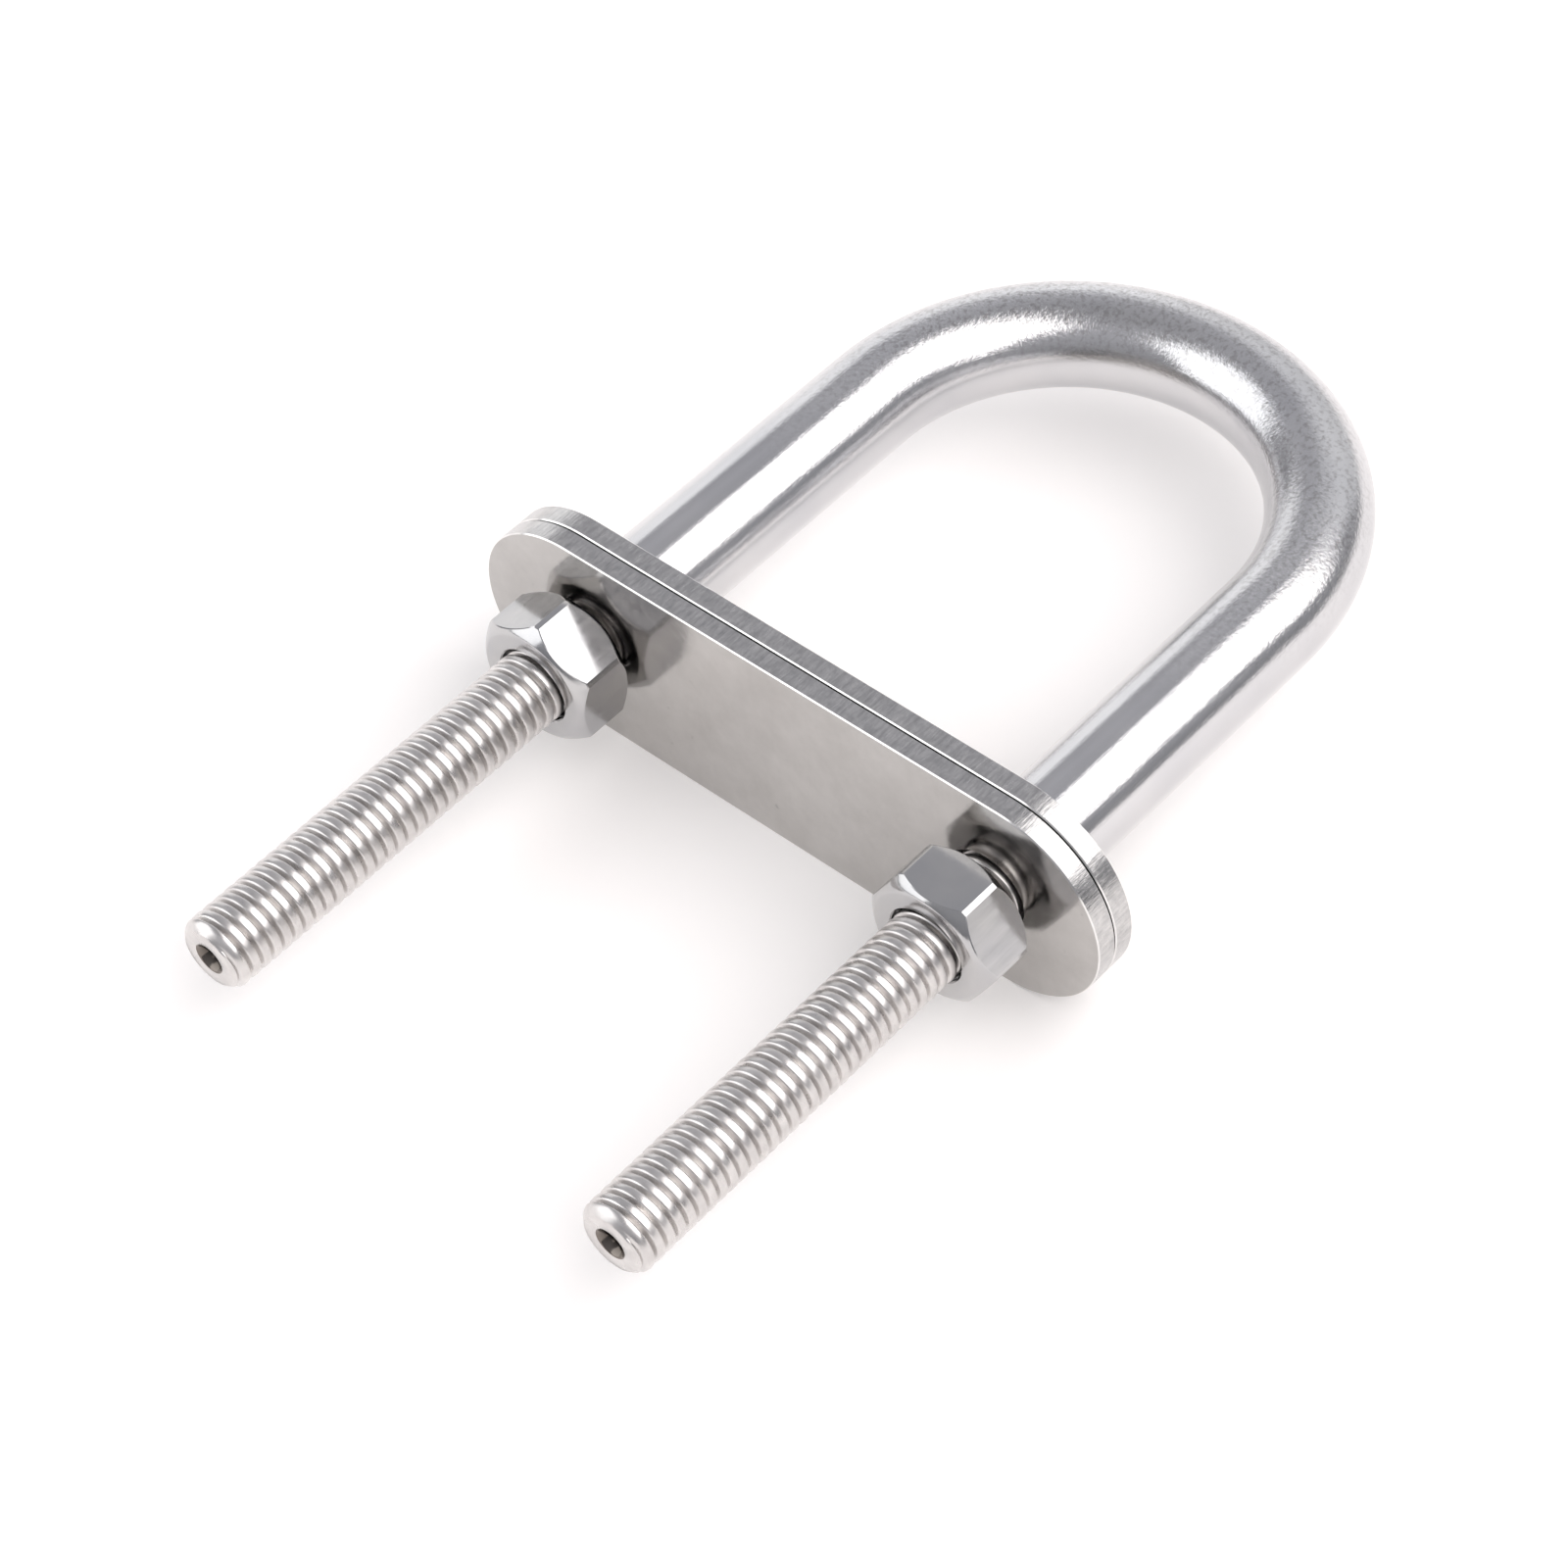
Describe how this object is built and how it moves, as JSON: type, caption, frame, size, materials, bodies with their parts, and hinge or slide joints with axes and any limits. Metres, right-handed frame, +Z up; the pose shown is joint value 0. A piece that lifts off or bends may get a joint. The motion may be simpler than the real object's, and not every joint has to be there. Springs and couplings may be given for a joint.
{
  "type": "u-bolt",
  "caption": "Round-bar U-bolt with threaded legs, a clamp plate seated on its shoulders, a sliding clamp plate behind it and hexagon nuts that drive the sliding plate.",
  "frame": {"origin": "middle of the upper plate's lower long edge, midway between the legs, where the part lies on a surface", "axes": "+X along the legs from the tips towards the bow, +Y across the legs to the left leg, +Z up, square to the plane of the bent rod"},
  "size_m": [0.0919, 0.0568, 0.0173],
  "materials": {
    "rod": "polished stainless steel with a fine drawn grain on the bow and bright rolled threads",
    "plate": "satin-polished stainless steel faces with sheared, cross-marked rims",
    "nut": "bright stainless steel, chamfered corners"
  },
  "bodies": {
    "bolt": {"u_rod": "rod", "upper_plate": "plate"},
    "sliding_plate": {"lower_plate": "plate"},
    "left_nut": {"left_nut": "nut"},
    "right_nut": {"right_nut": "nut"}
  },
  "joints": [
    {"name": "plate_travel", "type": "slide", "parent": "bolt", "child": "sliding_plate", "axis": [-1, 0, 0], "range_m": [0, 0.024]},
    {"name": "left_nut_turn", "type": "hinge", "parent": "sliding_plate", "child": "left_nut", "pos_m": [-0.00585, 0.0186, 0.00865], "axis": [-1, 0, 0], "range_deg": [0, 8650]},
    {"name": "right_nut_turn", "type": "hinge", "parent": "sliding_plate", "child": "right_nut", "pos_m": [-0.0066, -0.0186, 0.00865], "axis": [-1, 0, 0], "range_deg": [0, 8650]}
  ],
  "couplings": [
    {"joint": "left_nut_turn", "follows": "plate_travel", "rad_per_m": 6283.2},
    {"joint": "right_nut_turn", "follows": "plate_travel", "rad_per_m": 6283.2}
  ]
}
